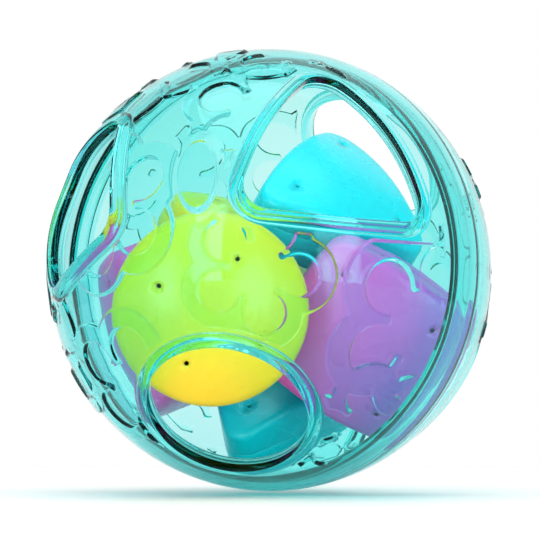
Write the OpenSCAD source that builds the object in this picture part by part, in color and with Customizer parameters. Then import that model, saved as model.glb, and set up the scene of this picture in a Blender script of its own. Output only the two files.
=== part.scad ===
// Clear shape ball: two see-through half shells with round, triangular and square
// windows, closed around six loose hollow blocks.
// Origin at the ball's centre, +Z up, front half towards -Y, seam in the XZ plane.

/* [Ball] */
// Outer diameter of the ball
ball_d = 150; // [150:1:156]
// Wall thickness of the half shells
wall = 2.4; // [2:0.1:2.6]
// Length of the tongue that the rear half pushes into the front half
tongue_l = 13.5; // [8:0.5:14]
// Thickness of the tongue
tongue_t = 2.1; // [1.6:0.1:2.1]

/* [Windows] */
// Diameter of the round window
round_d = 52; // [48:1:54]
// Middle to side of the triangular window
tri_r = 22.5; // [20:0.5:23]
// Middle to corner of the triangular window
tri_reach = 31; // [28:0.5:32]
// Middle to side of the square window
square_r = 24; // [21:0.5:24]
// Middle to corner of the square window
square_reach = 29.5; // [27:0.5:31]
// Radius that the sides of the windows bow out to
bow_r = 110; // [80:5:200]
// Width of the bead around each window
bead_w = 4; // [3:0.5:5]
// Height of the bead above the ball
bead_h = 1.1; // [0.5:0.1:1.5]
// Depth of the collar, from the ball's outside
collar_d = 5; // [3.5:0.5:5.5]

/* [Blocks] */
// Diameter of the round blocks
disc_d = 63; // [58:0.5:63]
// Thickness of the round blocks
disc_t = 34; // [30:1:34]
// Width of the triangular blocks across one side
tri_side = 65.6; // [60:0.2:65.6]
// Thickness of the triangular blocks
tri_t = 30; // [26:1:30]
// Side of the square blocks
block_side = 55.4; // [50:0.2:55.4]
// Thickness of the square blocks
square_t = 32; // [28:1:32]
// Middle to corner of the triangular blocks
tri_corner_r = 36; // [34:0.5:36]
// Middle to corner of the square blocks
square_corner_r = 35.5; // [33:0.5:35.5]
// Radius that the sides of the triangular and square blocks bow out to
block_bow_r = 150; // [120:10:250]
// Wall thickness of the blocks
block_wall = 1.8; // [1.4:0.1:2.2]
// Diameter of the vent pinholes
pin_d = 1.6; // [1:0.1:2]

/* [Hidden] */

ball_r = ball_d / 2;
fit_gap = 0.1;          // between the tongue and the wall around it
root_l = 3;             // tongue's root, melted into the rear half's wall
far = 2 * ball_d;       // larger than anything here
lip_l = 2.5;            // spigot lip inside each block
lip_t = 1.2;
tri_share = 0.347;      // middle to side over width, for a bowed triangle
fine = 64;

aqua = [0.45, 0.86, 0.84, 0.45];
yellow = [0.97, 0.90, 0.20];
blue = [0.00, 0.78, 0.86];
pink = [0.98, 0.38, 0.72];

// Windows of one half: kind, angle clockwise from the top seen from the front,
// angle from the half's pole.
windows = [["disc", 170, 43.5], ["triangle", 54, 48.5], ["square", -66, 43.5]];
// The rear half is the same moulding turned over about this line in the seam,
// given clockwise from the top.
turn_over = 96;

// Blocks: kind, place, turn, colour
blocks = [
    ["disc", [-3, -39.5, -15], [97, -19, 25], yellow],
    ["disc", [-24.5, 25.5, 7], [-178, -37, -177], yellow],
    ["triangle", [14.5, 20, 22], [46, 16, 43], blue],
    ["triangle", [-9.5, 30.5, -41], [-41, -12, -180], blue],
    ["square", [32.5, 3.5, -23], [-109, -32, -152], pink],
    ["square", [-40.5, -6, -19.5], [112, -11, -56], pink]];

// Per kind of block: thickness, radius of the domed faces, radius of the pinhole ring
function thickness(kind) = kind == "disc" ? disc_t : kind == "triangle" ? tri_t : square_t;
function dome_r(kind) = kind == "disc" ? 52 : kind == "triangle" ? 90 : 75;
function vent_r(kind) = kind == "disc" ? 18.5 : kind == "triangle" ? 22 : 24;

// ---- outlines ------------------------------------------------------------

// Prism with n bowed sides and arc corners about its axis. in_r is the distance to the
// middle of a side, reach the distance to a corner, and the first corner points at
// angle first.
module bowed_prism(n, in_r, reach, first, h, side_r) {
    intersection() {
        cylinder(r = reach, h = h, center = true, $fn = fine);
        intersection_for(i = [0 : n - 1]) rotate([0, 0, first + (i + 0.5) * 360 / n])
            translate([in_r - side_r, 0, 0])
                cylinder(r = side_r, h = h, center = true, $fn = fine);
    }
}

// ---- half shells -----------------------------------------------------------

// Turns +Z to the direction of a window: cw clockwise from the top, polar from the -Y pole.
module aim(cw, polar) {
    rotate([0, cw, 0]) rotate([90 - polar, 0, 0]) children();
}

// Solid that fills a window out to grow beyond its edge. The triangle and the
// square point a corner at the half's pole.
module window_prism(kind, grow, h) {
    if (kind == "disc") cylinder(r = round_d / 2 + grow, h = h, center = true, $fn = fine);
    if (kind == "triangle")
        bowed_prism(3, tri_r + grow, tri_reach + grow, -90, h, bow_r + grow);
    if (kind == "square")
        bowed_prism(4, square_r + grow, square_reach + grow, -90, h, bow_r + grow);
}

module hollow_sphere(outer, inner) {
    difference() {
        sphere(outer, $fn = fine);
        sphere(inner, $fn = fine);
    }
}

// Layer between y = low and y = high
module slab(low, high) {
    translate([-far / 2, low, -far / 2]) cube([far, high - low, far]);
}

// Ring that stands out of the seam and slides inside the other half's rim
module rim_tongue() {
    root_r = ball_r - wall - fit_gap;
    tip_r = sqrt(pow(root_r, 2) - pow(tongue_l, 2)) - fit_gap;
    rotate([-90, 0, 0]) rotate_extrude($fn = fine) polygon([
        [tip_r - tongue_t, tongue_l], [tip_r, tongue_l], [root_r, 0], [root_r, -fit_gap],
        [root_r + wall / 2, -fit_gap], [root_r + wall / 2, -root_l],
        [root_r - tongue_t, -root_l]]);
}

module half_shell(tongue) {
    difference() {
        union() {
            intersection() {
                hollow_sphere(ball_r, ball_r - wall);
                slab(-far, 0);
            }
            for (w = windows) intersection() {
                hollow_sphere(ball_r + bead_h, ball_r - collar_d);
                aim(w[1], w[2]) translate([0, 0, ball_r]) window_prism(w[0], bead_w, ball_r);
            }
            if (tongue) rim_tongue();
        }
        for (w = windows) aim(w[1], w[2]) translate([0, 0, ball_r])
            window_prism(w[0], 0, 1.6 * ball_r);
    }
}

module front_shell() {
    color(aqua) half_shell(false);
}

module rear_shell() {
    color(aqua) rotate(a = 180, v = [sin(turn_over), 0, cos(turn_over)]) half_shell(true);
}

// ---- blocks ----------------------------------------------------------------

// Outside of a block, or its inside at a depth of inset
module block_form(kind, inset) {
    t = thickness(kind) - 2 * inset;
    r = dome_r(kind) - inset;
    intersection() {
        if (kind == "disc") cylinder(r = disc_d / 2 - inset, h = far, center = true, $fn = fine);
        else if (kind == "triangle") bowed_prism(3, tri_side * tri_share - inset,
            tri_corner_r - inset, 90, far, block_bow_r - inset);
        else bowed_prism(4, block_side / 2 - inset,
            square_corner_r - inset, 45, far, block_bow_r - inset);
        translate([0, 0, t / 2 - r]) sphere(r, $fn = fine);
        translate([0, 0, r - t / 2]) sphere(r, $fn = fine);
    }
}

// One of a block's two cups, towards side (+1 or -1) of its middle plane
module cup(kind, side) {
    vents = kind == "triangle" ? 3 : 4;
    difference() {
        intersection() {
            difference() {
                block_form(kind, 0);
                block_form(kind, block_wall);
            }
            translate([0, 0, side * far / 2]) cube(far, center = true);
        }
        for (i = [0 : vents - 1]) rotate([0, 0, 90 + i * 360 / vents + (vents == 4 ? 45 : 0)])
            translate([vent_r(kind), 0, side * thickness(kind) / 2])
                cylinder(d = pin_d, h = thickness(kind) * 0.9, center = true, $fn = 24);
    }
}

// Lip that stands inside the lid and centres it in the base
module lip(kind) {
    intersection() {
        difference() {
            block_form(kind, block_wall + fit_gap);
            block_form(kind, block_wall + lip_t);
        }
        translate([0, 0, (1 - lip_l) / 2]) cube([far, far, lip_l + 1], center = true);
    }
    // the lip's foot reaches into the lid's wall
    intersection() {
        difference() {
            block_form(kind, block_wall / 2);
            block_form(kind, block_wall + lip_t);
        }
        translate([0, 0, 0.6]) cube([far, far, 1], center = true);
    }
}

module place(b) {
    translate(b[1]) rotate(b[2]) children();
}

module block_base(i) {
    color(blocks[i][3]) place(blocks[i]) cup(blocks[i][0], -1);
}

module block_lid(i) {
    color(blocks[i][3]) place(blocks[i]) {
        cup(blocks[i][0], 1);
        lip(blocks[i][0]);
    }
}

front_shell();
rear_shell();
block_base(0);  // yellow_disc_front_base
block_lid(0);  // yellow_disc_front_lid
block_base(1);  // yellow_disc_rear_base
block_lid(1);  // yellow_disc_rear_lid
block_base(2);  // blue_triangle_upper_base
block_lid(2);  // blue_triangle_upper_lid
block_base(3);  // blue_triangle_lower_base
block_lid(3);  // blue_triangle_lower_lid
block_base(4);  // pink_square_right_base
block_lid(4);  // pink_square_right_lid
block_base(5);  // pink_square_left_base
block_lid(5);  // pink_square_left_lid
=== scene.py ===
"""Looks of the clear shape ball: two tinted see-through half shells with windows and
raised ribbons, around six opaque hollow blocks. All mesh code is in millimetres;
Builder.build turns it into metres."""
import math

import bmesh
import bpy
import numpy as np
from mathutils import Euler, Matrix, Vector
from mathutils.geometry import delaunay_2d_cdt


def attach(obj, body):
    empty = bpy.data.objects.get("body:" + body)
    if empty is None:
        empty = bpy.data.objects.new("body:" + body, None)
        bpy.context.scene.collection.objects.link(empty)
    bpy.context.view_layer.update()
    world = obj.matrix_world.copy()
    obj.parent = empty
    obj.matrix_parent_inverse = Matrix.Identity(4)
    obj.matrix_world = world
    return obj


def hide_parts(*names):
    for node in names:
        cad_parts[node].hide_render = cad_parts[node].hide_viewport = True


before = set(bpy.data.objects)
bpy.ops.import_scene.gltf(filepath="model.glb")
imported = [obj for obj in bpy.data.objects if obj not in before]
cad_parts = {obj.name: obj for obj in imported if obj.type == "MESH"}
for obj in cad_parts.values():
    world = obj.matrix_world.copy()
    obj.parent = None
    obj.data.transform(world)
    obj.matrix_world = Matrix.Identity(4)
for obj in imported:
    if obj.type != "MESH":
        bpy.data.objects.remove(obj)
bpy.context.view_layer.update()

MM = 0.001
BALL_R = 75.0
WALL = 2.4
TONGUE_L = 13.5
TONGUE_T = 2.1
FIT = 0.1
SEAM_ROUND = 0.4
TURN_OVER = math.radians(96)

# ---------------------------------------------------------------- outlines


def evenly(pts, nrm, count):
    """The same closed outline with count points at even steps."""
    loop = np.vstack([pts, pts[:1]])
    step = np.concatenate([[0], np.cumsum(np.hypot(*(loop[1:] - loop[:-1]).T))])
    at = np.linspace(0, step[-1], count, endpoint=False)
    out = np.column_stack([np.interp(at, step, loop[:, k]) for k in (0, 1)])
    nn = np.vstack([nrm, nrm[:1]])
    n = np.column_stack([np.interp(at, step, nn[:, k]) for k in (0, 1)])
    return out, n / np.hypot(*n.T)[:, None]


def bowed_outline(n, in_r, side_r, corner, first, count):
    """Outline of n bowed sides with round corners, as points and outward normals."""
    half = math.pi / n
    c0 = in_r - side_r
    b = c0 * math.cos(half)
    t = b + math.sqrt(b * b - c0 * c0 + (side_r - corner) ** 2)
    pts, nrm = [], []
    for i in range(n):
        a = math.radians(first) + 2 * i * half
        at = t * np.array([math.cos(a), math.sin(a)])
        before = at - c0 * np.array([math.cos(a - half), math.sin(a - half)])
        after = at - c0 * np.array([math.cos(a + half), math.sin(a + half)])
        a0, a1 = math.atan2(before[1], before[0]), math.atan2(after[1], after[0])
        for w in a0 + (a1 - a0) % (2 * math.pi) * np.linspace(0, 1, 80, endpoint=False):
            nrm.append((math.cos(w), math.sin(w)))
            pts.append(at + corner * np.array(nrm[-1]))
        nxt = t * np.array([math.cos(a + 2 * half), math.sin(a + 2 * half)])
        side = c0 * np.array([math.cos(a + half), math.sin(a + half)])
        a2 = math.atan2(nxt[1] - side[1], nxt[0] - side[0])
        for w in a1 + (a2 - a1) % (2 * math.pi) * np.linspace(0, 1, 120, endpoint=False):
            nrm.append((math.cos(w), math.sin(w)))
            pts.append(side + side_r * np.array(nrm[-1]))
    return evenly(np.array(pts), np.array(nrm), count)


def round_outline(r, count):
    a = np.linspace(0, 2 * math.pi, count, endpoint=False)
    n = np.column_stack([np.cos(a), np.sin(a)])
    return n * r, n


# ---------------------------------------------------------------- mesh tools


def inside_loop(p, loop):
    """Which points lie inside a closed loop."""
    out = np.zeros(len(p), bool)
    x, y = p[:, 0], p[:, 1]
    for (x0, y0), (x1, y1) in zip(loop, np.roll(loop, -1, axis=0)):
        if y0 != y1:
            out ^= ((y0 > y) != (y1 > y)) & (x < (x1 - x0) * (y - y0) / (y1 - y0) + x0)
    return out


def nearest(p, q, cell=4.0):
    """Distance from each point of p to its nearest point of q, capped at cell."""
    out = np.full(len(p), cell)
    near = {}
    for i, k in enumerate(map(tuple, np.floor(q / cell).astype(int))):
        near.setdefault(k, []).append(i)
    groups = {}
    for i, k in enumerate(map(tuple, np.floor(p / cell).astype(int))):
        groups.setdefault(k, []).append(i)
    for (kx, ky), ids in groups.items():
        around = [(kx + dx, ky + dy) for dx in (-1, 0, 1) for dy in (-1, 0, 1)]
        js = [j for key in around for j in near.get(key, ())]
        if js:
            d = np.sqrt(((p[ids][:, None] - q[js][None]) ** 2).sum(2)).min(1)
            out[ids] = np.minimum(d, cell)
    return out


def contours(field, reach, cell, levels, gap):
    """Level lines of a field over a square: points and index pairs, with points closer
    than gap along a line merged."""
    xs = np.arange(-reach, reach + cell, cell)
    gx, gy = np.meshgrid(xs, xs, indexing="ij")
    f = field(np.column_stack([gx.ravel(), gy.ravel()])).reshape(gx.shape)
    pts, segs = [], []
    for level in levels:
        g = f - level
        g[g == 0] = 1e-9
        index = {}

        def crossing(i, j, di, dj):
            key = (i, j, di, dj)
            if key not in index:
                s = g[i, j] / (g[i, j] - g[i + di, j + dj])
                index[key] = len(pts)
                pts.append((xs[i] + s * di * cell, xs[j] + s * dj * cell))
            return index[key]

        up = g > 0
        four = up[:-1, :-1].astype(int) + up[1:, :-1] + up[:-1, 1:] + up[1:, 1:]
        for i, j in zip(*np.nonzero((four > 0) & (four < 4))):
            ends = []
            if up[i, j] != up[i + 1, j]:
                ends.append(crossing(i, j, 1, 0))
            if up[i + 1, j] != up[i + 1, j + 1]:
                ends.append(crossing(i + 1, j, 0, 1))
            if up[i, j + 1] != up[i + 1, j + 1]:
                ends.append(crossing(i, j + 1, 1, 0))
            if up[i, j] != up[i, j + 1]:
                ends.append(crossing(i, j, 0, 1))
            segs += [(ends[k], ends[k + 1]) for k in range(0, len(ends) - 1, 2)]
    pts = np.array(pts).reshape(-1, 2)
    at = np.arange(len(pts))
    for a, b in segs:
        if at[a] != at[b] and np.hypot(*(pts[at[a]] - pts[at[b]])) < gap:
            at[at == at[b]] = at[a]
    return pts, [(at[a], at[b]) for a, b in segs if at[a] != at[b]]


def patch(loops, spacing, lines=((), ())):
    """Triangles inside the first loop and outside the others, along the given lines, with
    an even grid between. The loops' points come first, in order."""
    loops = [np.asarray(lo) for lo in loops]

    def within(p):
        ok = inside_loop(p, loops[0])
        for lo in loops[1:]:
            ok &= ~inside_loop(p, lo)
        return ok

    edges, n = [], 0
    for lo in loops:
        edges += [(n + i, n + (i + 1) % len(lo)) for i in range(len(lo))]
        n += len(lo)
    fixed = np.vstack(loops)
    if len(lines[1]):
        used = np.unique(np.array(lines[1]))
        at = lines[0][used]
        ok = within(at) & (nearest(at, fixed) > 0.2)
        index = dict(zip(used[ok], n + np.arange(ok.sum())))
        edges += [(index[a], index[b]) for a, b in lines[1] if a in index and b in index]
        fixed = np.vstack([fixed, at[ok]])
    low, high = loops[0].min(0), loops[0].max(0)
    grid = []
    for i, y in enumerate(np.arange(low[1], high[1], spacing * math.sqrt(0.75))):
        x = np.arange(low[0] + (i % 2) * spacing / 2, high[0], spacing)
        grid.append(np.column_stack([x, np.full(len(x), y)]))
    grid = np.vstack(grid)
    grid = grid[within(grid)]
    grid = grid[nearest(grid, fixed) > spacing * 0.45]
    every = [Vector(p) for p in np.vstack([fixed, grid])]
    got = delaunay_2d_cdt(every, edges, [], 0, 1e-6, False)
    verts = np.array([tuple(v) for v in got[0]])
    tris = np.array([f for f in got[2] if len(f) == 3])
    tris = tris[within(verts[tris].mean(1))]
    e1 = verts[tris[:, 1]] - verts[tris[:, 0]]
    e2 = verts[tris[:, 2]] - verts[tris[:, 0]]
    flip = e1[:, 0] * e2[:, 1] - e1[:, 1] * e2[:, 0] < 0
    tris[flip] = tris[flip][:, ::-1]
    return verts, tris


class Builder:
    """Collects faces, then welds them into one mesh object."""

    def __init__(self):
        self.verts, self.faces, self.n = [], [], 0

    def add(self, verts, faces):
        self.verts.append(np.asarray(verts, float))
        self.faces += [tuple(int(k) + self.n for k in f) for f in faces]
        self.n += len(verts)

    def strip(self, rings):
        """Faces between closed rings of equal length."""
        m = len(rings[0])
        self.add(np.vstack(rings), [
            (r * m + i, r * m + (i + 1) % m, (r + 1) * m + (i + 1) % m, (r + 1) * m + i)
            for r in range(len(rings) - 1) for i in range(m)])

    def build(self, name, turn=None, place=(0, 0, 0)):
        v = np.vstack(self.verts)
        if turn is not None:
            v = v @ np.asarray(turn).T
        mesh = bpy.data.meshes.new(name)
        mesh.from_pydata(((v + np.asarray(place)) * MM).tolist(), [], self.faces)
        bm = bmesh.new()
        bm.from_mesh(mesh)
        bmesh.ops.remove_doubles(bm, verts=bm.verts, dist=0.004 * MM)
        bmesh.ops.dissolve_degenerate(bm, edges=bm.edges, dist=1e-7)
        bmesh.ops.recalc_face_normals(bm, faces=bm.faces)
        bm.to_mesh(mesh)
        bm.free()
        mesh.polygons.foreach_set("use_smooth", [True] * len(mesh.polygons))
        ob = bpy.data.objects.new(name, mesh)
        bpy.context.scene.collection.objects.link(ob)
        return ob


def arc(cx, cy, rx, ry, a0, a1, steps):
    """Points on an arc, angles in degrees."""
    angles = np.radians(np.linspace(a0, a1, steps))
    return [(cx + rx * math.cos(w), cy + ry * math.sin(w)) for w in angles]


# ---------------------------------------------------------------- half shells

# Windows of one half: kind, degrees clockwise from the top seen from the front,
# degrees from the half's pole
WINDOWS = (("disc", 170, 43.5), ("triangle", 54, 48.5), ("square", -66, 43.5))
OUTLINES = {"triangle": (3, 22.5, 110, 8.5), "square": (4, 24.0, 110, 8.0)}
ROUND_R = 26.0
BEAD_W = 4.0
BEAD_H = 1.1
COLLAR_D = 5.0
BEAD_SOFT = 1.4        # rounding of the bead's outer side and of the collar's foot
COLLAR_LIP = 0.8       # rounding at the window's own edge
COLLAR_FOOT = 3.0      # from the window's edge to where the collar meets the wall
RIM_CLEAR = 72.5       # the ribbons stop this many degrees from the pole
RIBBON_H = 0.9
BEVEL = 0.85
# Mesh steps: seam points, map distance left for the rim's rings outside and inside,
# field cell and shortest piece of a ribbon's line, grids of the two faces of the wall
RIM_POINTS = 360
RIM_OUTSIDE = 1.4
RIM_INSIDE = 4.8
RIBBON_CELL = 0.8
RIBBON_MERGE = 0.3
OUTSIDE_STEP = 3.2
INSIDE_STEP = 3.6

# Five-lobed flowers of ribbon: degrees clockwise, degrees from the pole, size, degrees
# of the first lobe on the flat map
FLOWERS = (
    (101, 21.5, 1.00, 64),
    (-56, 22.5, 1.12, 36),
    (24, 43.5, 1.06, 16),
    (108, 66.0, 1.32, 130),
    (-153, 38.0, 1.12, 76),
    (-112, 62.0, 1.15, 20),
    (-20, 64.0, 1.15, 50),
    (140, 68.0, 1.00, 10),
    (14, 72.0, 1.00, 100),
)
LOBES = 5
LOBE_RING = 13.3
LOBE_OUT = 12.4
LOBE_IN = 6.3
HEART = 8.2
BOSS = (16, 20.3, 13.0, 7.0, 8.5)  # clockwise, from the pole, half height, half width, lean


def axes(cw, polar):
    """Local x, y and outward axis at a place on the half; y points from pole to seam."""
    a, p = math.radians(cw), math.radians(polar)
    x = np.array([math.cos(a), 0, -math.sin(a)])
    y = np.array([math.cos(p) * math.sin(a), math.sin(p), math.cos(p) * math.cos(a)])
    out = np.array([math.sin(p) * math.sin(a), -math.cos(p), math.sin(p) * math.cos(a)])
    return x, y, out


def to_map(d):
    """Directions to the half's flat map, where distance from the middle runs along the ball."""
    d = d / np.linalg.norm(d, axis=1)[:, None]
    flat = np.maximum(np.hypot(d[:, 0], d[:, 2]), 1e-12)
    return (BALL_R * np.arccos(np.clip(-d[:, 1], -1, 1)) / flat)[:, None] * d[:, (0, 2)]


def from_map(p):
    rho = np.maximum(np.hypot(p[:, 0], p[:, 1]), 1e-9)
    s = np.sin(rho / BALL_R) / rho
    return np.column_stack([p[:, 0] * s, -np.cos(rho / BALL_R), p[:, 1] * s])


def window_ring(window, grow, height, count=156):
    """A window's outline moved outward by grow, at a height above the ball's outside."""
    kind, cw, polar = window
    x, y, out = axes(cw, polar)
    if kind == "disc":
        pts, nrm = round_outline(ROUND_R, count)
    else:
        n, in_r, side_r, corner = OUTLINES[kind]
        pts, nrm = bowed_outline(n, in_r, side_r, corner, -90, count)
    q = pts + nrm * grow
    up = np.sqrt((BALL_R + height) ** 2 - (q**2).sum(1))
    return q[:, :1] * x + q[:, 1:] * y + up[:, None] * out


def soft_max(a, b, k):
    h = np.clip(0.5 + (a - b) / (2 * k), 0, 1)
    return b + (a - b) * h + k * h * (1 - h)


def window_distance(d):
    """Distance from each direction to the nearest window's edge, positive outside."""
    best = np.full(len(d), 1e3)
    for kind, cw, polar in WINDOWS:
        x, y, out = axes(cw, polar)
        q = np.column_stack([d @ x, d @ y]) * BALL_R
        if kind == "disc":
            s = np.hypot(q[:, 0], q[:, 1]) - ROUND_R
        else:
            n, in_r, side_r, corner = OUTLINES[kind]
            s = []
            for i in range(n):
                w = math.radians(-90) + (i + 0.5) * 2 * math.pi / n
                s.append(np.hypot(q[:, 0] - (in_r - side_r) * math.cos(w),
                                  q[:, 1] - (in_r - side_r) * math.sin(w)) - side_r)
            s = np.sort(np.array(s), axis=0)
            s = soft_max(s[-1], s[-2], 5.0)
        best = np.minimum(best, np.where(d @ out > 0, s, 1e3))
    return best


def ribbon_distance(p):
    """Signed distance on the map to the raised ribbons, negative on a ribbon."""
    d = from_map(p)
    best = np.full(len(d), 1e3)
    for cw, polar, size, first in FLOWERS:
        x, y, out = axes(cw, polar)
        a = math.radians(cw)
        u = d @ (math.cos(a) * x + math.sin(a) * y)
        v = d @ (math.cos(a) * y - math.sin(a) * x)
        arc_mm = BALL_R * np.arccos(np.clip(d @ out, -1, 1))
        flat = np.maximum(np.hypot(u, v), 1e-9)
        u, v = u * arc_mm / flat / size, v * arc_mm / flat / size
        outer, inner = np.full(len(d), 1e3), np.hypot(u, v) - HEART
        for k in range(LOBES):
            w = math.radians(first) + 2 * math.pi * k / LOBES
            s = np.hypot(u - LOBE_RING * math.cos(w), v - LOBE_RING * math.sin(w))
            outer = np.minimum(outer, s - LOBE_OUT)
            inner = -soft_max(-inner, LOBE_IN - s, 1.6)
        best = np.minimum(best, np.maximum(outer, -inner) * size)
    cw, polar, tall, wide, lean = BOSS
    mid = to_map(axes(cw, polar)[2][None])[0]
    c, s = math.cos(math.radians(lean)), math.sin(math.radians(lean))
    q = p - mid
    e = np.hypot((q[:, 0] * c + q[:, 1] * s) / wide, (q[:, 1] * c - q[:, 0] * s) / tall)
    boss = (e - 1) * wide
    best = np.minimum(np.maximum(best, 1.6 - boss), boss)
    best = np.maximum(best, np.hypot(p[:, 0], p[:, 1]) - math.radians(RIM_CLEAR) * BALL_R)
    return np.maximum(best, BEAD_W + 1.5 - window_distance(d))


def half_shell(tongue):
    b = Builder()
    seam = math.pi / 2 * BALL_R
    a = np.linspace(0, 2 * math.pi, RIM_POINTS, endpoint=False)
    rim = np.column_stack([np.cos(a), np.sin(a)])
    edge, inside_edge = seam - RIM_OUTSIDE, seam - RIM_INSIDE
    # window section: over the bead, down the wall, round the collar and back inside
    soft, lip = BEAD_SOFT, COLLAR_LIP
    section = ([(BEAD_W + lip, 0)] + arc(BEAD_W - soft, 0, soft, BEAD_H, 0, 90, 6)
               + arc(lip, BEAD_H - lip, lip, lip, 90, 180, 6) + [(0, -2.0)]
               + arc(lip, lip - COLLAR_D, lip, lip, 180, 360, 9)
               + arc(COLLAR_FOOT, -WALL - soft, soft, soft, 180, 90, 5)
               + [(COLLAR_FOOT + lip, -WALL)])
    outer, inner = [rim * edge], [rim * inside_edge]
    for w in WINDOWS:
        rings = [window_ring(w, grow, height) for grow, height in section]
        b.strip(rings)
        outer.append(to_map(rings[0]))
        inner.append(to_map(rings[-1]))
    levels = (0.25, 0, -BEVEL / 2, -BEVEL, -BEVEL - 0.25)
    lines = contours(ribbon_distance, seam, RIBBON_CELL, levels, RIBBON_MERGE)
    v, f = patch(outer, OUTSIDE_STEP, lines)
    t = np.clip(-ribbon_distance(v) / BEVEL, 0, 1)
    b.add(from_map(v) * (BALL_R + RIBBON_H * t)[:, None], f)
    v, f = patch(inner, INSIDE_STEP)
    b.add(from_map(v) * (BALL_R - WALL), f)

    def rim_ring(radius, y):
        return np.column_stack([rim[:, 0] * radius, np.full(RIM_POINTS, y), rim[:, 1] * radius])

    inside = BALL_R - WALL
    rings = [from_map(rim * edge) * BALL_R, from_map(rim * (seam - SEAM_ROUND - 0.05)) * BALL_R]
    rounding = arc(BALL_R - SEAM_ROUND, -SEAM_ROUND, SEAM_ROUND, SEAM_ROUND, 0, 90, 4)
    rings += [rim_ring(r, y) for r, y in rounding[1:]]
    if tongue:
        root = inside - FIT
        tip = math.sqrt(root**2 - TONGUE_L**2) - FIT
        back = tip - TONGUE_T
        rings += [rim_ring(root + 0.4, 0), rim_ring(root, 0.3)]
        rings += [rim_ring(math.sqrt(root**2 - y**2) - FIT * y / TONGUE_L, y)
                  for y in (3, 6, 9, 11.5, TONGUE_L - 0.4)]
        rings += [rim_ring(tip - 0.5, TONGUE_L), rim_ring(back + 0.4, TONGUE_L),
                  rim_ring(back, TONGUE_L - 0.4)]
        rings += [rim_ring(math.sqrt(root**2 - y**2) - TONGUE_T, y) for y in (10, 6, 2, -1)]
    else:
        rings += [rim_ring(inside + 0.3, 0), rim_ring(inside, -0.3)]
    rings.append(from_map(rim * inside_edge) * inside)
    b.strip(rings)
    return b


# ---------------------------------------------------------------- blocks

# kind: thickness, radius of the domed faces, pinholes, radius of their ring, first pinhole
KINDS = {
    "disc": (34, 52, 4, 18.5, 135),
    "triangle": (30, 90, 3, 22.0, 90),
    "square": (32, 75, 4, 24.0, 135),
}
BLOCK_WALL = 1.8
LIP_L = 2.5
LIP_T = 1.2
EDGE = 2.6
UNDER_EDGE = EDGE + 0.6
PIN_R = 0.8
PIN_POINTS = 16
DISC_R = 31.5
TRI_IN_R = 65.6 * 0.347  # middle to side: the width, times a bowed triangle's share
SQUARE_IN_R = 27.7
BLOCK_BOW_R = 150
TRI_CORNER = 7.5
SQUARE_CORNER = 8.5
BLOCKS = (
    # body, kind, place, turn in degrees, material slot
    ("yellow_disc_front", "disc", (-3, -39.5, -15), (97, -19, 25), "yellow_plastic"),
    ("yellow_disc_rear", "disc", (-24.5, 25.5, 7), (-178, -37, -177), "yellow_plastic"),
    ("blue_triangle_upper", "triangle", (14.5, 20, 22), (46, 16, 43), "blue_plastic"),
    ("blue_triangle_lower", "triangle", (-9.5, 30.5, -41), (-41, -12, -180), "blue_plastic"),
    ("pink_square_right", "square", (32.5, 3.5, -23), (-109, -32, -152), "pink_plastic"),
    ("pink_square_left", "square", (-40.5, -6, -19.5), (112, -11, -56), "pink_plastic"),
)


def block_outline(kind, count=132):
    if kind == "disc":
        return round_outline(DISC_R, count)
    if kind == "triangle":
        return bowed_outline(3, TRI_IN_R, BLOCK_BOW_R, TRI_CORNER, 90, count)
    return bowed_outline(4, SQUARE_IN_R, BLOCK_BOW_R, SQUARE_CORNER, 45, count)


def block_half(kind, lid):
    """One cup of a block about its own middle plane, the lid above it and the base below."""
    thick, dome, pins, pin_ring, first = KINDS[kind]
    b = Builder()
    out, nrm = block_outline(kind)

    def face(rho2, inset):
        return thick / 2 - dome + np.sqrt((dome - inset) ** 2 - rho2)

    def ring(inset, z):
        q = out - nrm * inset
        return np.column_stack([q, np.full(len(q), z) if np.isscalar(z) else z])

    def cap(inset, spacing):
        """A domed face with its pinholes, inside the outline moved in by inset."""
        loops = [out - nrm * inset]
        for i in range(pins):
            w = math.radians(first + 360 / pins * i)
            q, _ = round_outline(PIN_R, PIN_POINTS)
            loops.append(q + pin_ring * np.array([math.cos(w), math.sin(w)]))
        return loops, patch(loops, spacing)

    # outside: domed face, round edge, wall, fine bevel at the parting line
    loops, (v, f) = cap(EDGE, 3.0)
    b.add(np.column_stack([v, face((v**2).sum(1), 0)]), f)
    q = out - nrm * EDGE
    top = face((q**2).sum(1), 0)
    radial = (q * nrm).sum(1)
    corner = top - EDGE * radial / (top + dome - thick / 2)
    low = corner - EDGE
    rings = []
    for t in np.linspace(0, 1, 8):
        rings.append(ring(EDGE * (1 - t) ** 2,
                          (1 - t) ** 2 * top + 2 * t * (1 - t) * corner + t * t * low))
    rings += [ring(0, low * 0.5), ring(0, 0.35), ring(0.1, 0.1), ring(0.35, 0.0)]
    # inside: the lid carries the lip that centres it in the base
    if lid:
        rings += [ring(inset, z) for inset, z in (
            (BLOCK_WALL + FIT, 0.0), (BLOCK_WALL + FIT, 0.3 - LIP_L),
            (BLOCK_WALL + FIT + 0.3, -LIP_L), (BLOCK_WALL + LIP_T, -LIP_L),
            (BLOCK_WALL + LIP_T, 1.0), (BLOCK_WALL, 2.0))]
    else:
        rings += [ring(BLOCK_WALL - 0.3, 0.0), ring(BLOCK_WALL, 0.3)]
    q = out - nrm * UNDER_EDGE
    under = face((q**2).sum(1), BLOCK_WALL)
    rings += [ring(BLOCK_WALL, low * 0.6), ring(EDGE, np.minimum(under - 0.5, low + 0.4)),
              ring(UNDER_EDGE, under)]
    b.strip(rings)
    _, (v, f) = cap(UNDER_EDGE, 5.0)
    b.add(np.column_stack([v, face((v**2).sum(1), BLOCK_WALL)]), f)
    for lo in loops[1:]:
        b.strip([np.column_stack([lo, face((lo**2).sum(1), depth)]) for depth in (0, BLOCK_WALL)])
    if not lid:
        b.verts = [v * (1, 1, -1) for v in b.verts]
    return b


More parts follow.
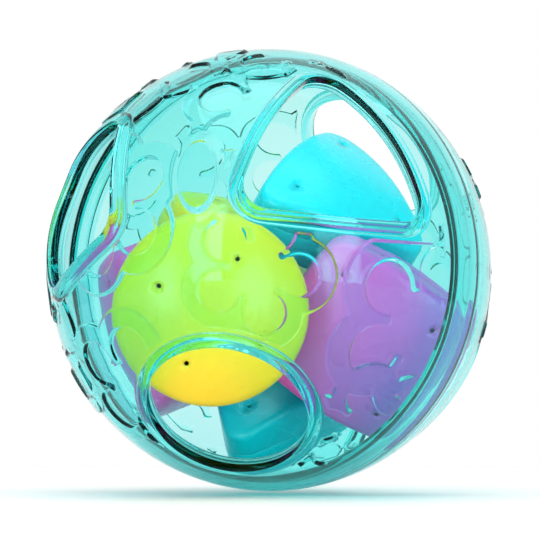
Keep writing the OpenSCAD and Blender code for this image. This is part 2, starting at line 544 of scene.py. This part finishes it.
# ---------------------------------------------------------------- materials


def material(name):
    mat = bpy.data.materials.new(name)
    mat.use_nodes = True
    tree = mat.node_tree
    tree.nodes.clear()
    return mat, tree.nodes, tree.links


def noise(nodes, links, scale, detail, low, high):
    """A soft procedural value from low to high, in the piece's own coordinates."""
    coord = nodes.new("ShaderNodeTexCoord")
    tex = nodes.new("ShaderNodeTexNoise")
    tex.inputs["Scale"].default_value = scale
    tex.inputs["Detail"].default_value = detail
    links.new(coord.outputs["Object"], tex.inputs["Vector"])
    ramp = nodes.new("ShaderNodeMapRange")
    ramp.inputs["From Min"].default_value = 0.3
    ramp.inputs["From Max"].default_value = 0.7
    ramp.inputs["To Min"].default_value = low
    ramp.inputs["To Max"].default_value = high
    links.new(tex.outputs["Fac"], ramp.inputs["Value"])
    return ramp.outputs["Result"]


def two_tone(nodes, links, fac, first, second):
    mix = nodes.new("ShaderNodeMix")
    mix.data_type = "RGBA"
    mix.inputs["A"].default_value = (*first, 1)
    mix.inputs["B"].default_value = (*second, 1)
    links.new(fac, mix.inputs["Factor"])
    return mix.outputs["Result"]


def clear_plastic():
    mat, nodes, links = material("clear_aqua_plastic")
    out = nodes.new("ShaderNodeOutputMaterial")
    body = nodes.new("ShaderNodeBsdfPrincipled")
    body.inputs["Transmission Weight"].default_value = 1.0
    body.inputs["IOR"].default_value = 1.36
    body.inputs["Roughness"].default_value = 0.02
    body.inputs["Specular Tint"].default_value = (0.42, 0.9, 0.9, 1)
    fac = noise(nodes, links, 14, 2, 0, 1)
    tones = two_tone(nodes, links, fac, (0.88, 0.985, 0.98), (0.92, 0.99, 0.985))
    links.new(tones, body.inputs["Base Color"])
    bump = nodes.new("ShaderNodeBump")
    bump.inputs["Strength"].default_value = 0.05
    bump.inputs["Distance"].default_value = 0.0004
    links.new(noise(nodes, links, 28, 1, 0, 1), bump.inputs["Height"])
    links.new(bump.outputs["Normal"], body.inputs["Normal"])
    passing = nodes.new("ShaderNodeBsdfTransparent")
    passing.inputs["Color"].default_value = (0.93, 0.99, 0.985, 1)
    path = nodes.new("ShaderNodeLightPath")
    mix = nodes.new("ShaderNodeMixShader")
    links.new(path.outputs["Is Shadow Ray"], mix.inputs[0])
    links.new(body.outputs["BSDF"], mix.inputs[1])
    links.new(passing.outputs["BSDF"], mix.inputs[2])
    links.new(mix.outputs["Shader"], out.inputs["Surface"])
    tint = nodes.new("ShaderNodeVolumeAbsorption")
    tint.inputs["Color"].default_value = (0.02, 0.935, 0.93, 1)
    tint.inputs["Density"].default_value = 205
    links.new(tint.outputs["Volume"], out.inputs["Volume"])
    return mat


def gloss_plastic(name, first, second):
    mat, nodes, links = material(name)
    out = nodes.new("ShaderNodeOutputMaterial")
    body = nodes.new("ShaderNodeBsdfPrincipled")
    body.inputs["IOR"].default_value = 1.49
    links.new(noise(nodes, links, 60, 3, 0.24, 0.34), body.inputs["Roughness"])
    fac = noise(nodes, links, 22, 3, 0, 1)
    links.new(two_tone(nodes, links, fac, first, second), body.inputs["Base Color"])
    bump = nodes.new("ShaderNodeBump")
    bump.inputs["Strength"].default_value = 0.15
    bump.inputs["Distance"].default_value = 0.0002
    links.new(noise(nodes, links, 400, 4, 0, 1), bump.inputs["Height"])
    links.new(bump.outputs["Normal"], body.inputs["Normal"])
    links.new(body.outputs["BSDF"], out.inputs["Surface"])
    return mat


materials = {
    "clear_aqua_plastic": clear_plastic(),
    "yellow_plastic": gloss_plastic("yellow_plastic", (0.92, 0.56, 0.01), (0.96, 0.61, 0.015)),
    "blue_plastic": gloss_plastic("blue_plastic", (0.0, 0.50, 0.57), (0.0, 0.55, 0.63)),
    "pink_plastic": gloss_plastic("pink_plastic", (0.92, 0.08, 0.42), (0.96, 0.11, 0.47)),
}

# ---------------------------------------------------------------- pieces


def finish_piece(ob, body, slot):
    ob.data.materials.append(materials[slot])
    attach(ob, body)
    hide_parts(ob.name.replace("look_", ""))


line = np.array([math.sin(TURN_OVER), 0, math.cos(TURN_OVER)])
half_turn = 2 * np.outer(line, line) - np.eye(3)
finish_piece(half_shell(False).build("look_front_shell"), "ball", "clear_aqua_plastic")
finish_piece(half_shell(True).build("look_rear_shell", half_turn), "ball", "clear_aqua_plastic")

for body_name, kind, place, turn, slot_name in BLOCKS:
    pose = np.array(Euler([math.radians(t) for t in turn], "XYZ").to_matrix())
    for part in ("base", "lid"):
        made = block_half(kind, part == "lid").build(f"look_{body_name}_{part}", pose, place)
        finish_piece(made, body_name, slot_name)

# ---------------------------------------------------------------- stage

scene = bpy.context.scene
FRONT_AZ = 24.5        # the camera's degrees round from the front, toward +X
AZ, EL, DISTANCE = math.radians(FRONT_AZ), math.radians(-4), 0.75
back = Vector((math.sin(AZ) * math.cos(EL), -math.cos(AZ) * math.cos(EL), math.sin(EL)))
camera = bpy.data.objects.new("camera", bpy.data.cameras.new("camera"))
camera.data.lens = 146.7
camera.data.sensor_width = 36
camera.data.clip_start, camera.data.clip_end = 0.01, 20
camera.location = back * DISTANCE
camera.rotation_euler = back.to_track_quat("Z", "Y").to_euler()
scene.collection.objects.link(camera)
scene.camera = camera


def softbox(name, azimuth, elevation, distance, width, height, power):
    az, el = math.radians(azimuth), math.radians(elevation)
    to = Vector((math.sin(az) * math.cos(el), -math.cos(az) * math.cos(el), math.sin(el)))
    data = bpy.data.lights.new(name, "AREA")
    data.shape = "RECTANGLE"
    data.size, data.size_y, data.energy = width, height, power
    ob = bpy.data.objects.new(name, data)
    ob.location = to * distance
    ob.rotation_euler = to.to_track_quat("Z", "Y").to_euler()
    scene.collection.objects.link(ob)


softbox("softbox_left", FRONT_AZ - 31, 4, 1.3, 0.34, 1.15, 7)
softbox("softbox_right", FRONT_AZ + 34, 4, 1.3, 0.50, 1.15, 8)
softbox("softbox_top", FRONT_AZ, 80, 1.3, 1.2, 1.2, 9)

world = bpy.data.worlds.new("studio")
world.use_nodes = True
nodes, links = world.node_tree.nodes, world.node_tree.links
# a white backdrop behind the ball, and a light grey room around it
coord = nodes.new("ShaderNodeTexCoord")
toward = nodes.new("ShaderNodeVectorMath")
toward.operation = "DOT_PRODUCT"
toward.inputs[1].default_value = -back
links.new(coord.outputs["Generated"], toward.inputs[0])
fade = nodes.new("ShaderNodeMapRange")
fade.interpolation_type = "SMOOTHSTEP"
for socket, value in (("From Min", 0.3), ("From Max", 0.85), ("To Min", 0.65), ("To Max", 1.0)):
    fade.inputs[socket].default_value = value
links.new(toward.outputs["Value"], fade.inputs["Value"])
links.new(fade.outputs["Result"], nodes["Background"].inputs["Strength"])
nodes["Background"].inputs["Color"].default_value = (1, 1, 1, 1)
scene.world = world

floor_mesh = bpy.data.meshes.new("floor")
FLOOR_R, FLOOR_Z, FLOOR_SIDES = 0.5, -0.0762, 64
turn_by = np.linspace(0, 2 * math.pi, FLOOR_SIDES, endpoint=False)
floor_pts = [(FLOOR_R * math.cos(w), FLOOR_R * math.sin(w), FLOOR_Z) for w in turn_by]
floor_mesh.from_pydata(floor_pts, [], [tuple(range(FLOOR_SIDES))])
floor = bpy.data.objects.new("floor", floor_mesh)
scene.collection.objects.link(floor)
floor_mat, floor_nodes, floor_links = material("floor")
floor_out = floor_nodes.new("ShaderNodeOutputMaterial")
floor_body = floor_nodes.new("ShaderNodeBsdfPrincipled")
floor_body.inputs["Roughness"].default_value = 0.6
floor_tones = two_tone(floor_nodes, floor_links, noise(floor_nodes, floor_links, 3, 2, 0, 1),
                       (0.93, 0.93, 0.93), (0.96, 0.96, 0.96))
floor_links.new(floor_tones, floor_body.inputs["Base Color"])
floor_links.new(floor_body.outputs["BSDF"], floor_out.inputs["Surface"])
floor_mesh.materials.append(floor_mat)

scene.view_settings.view_transform = "Standard"
scene.cycles.max_bounces = 28
scene.cycles.transmission_bounces = 28
scene.cycles.transparent_max_bounces = 24
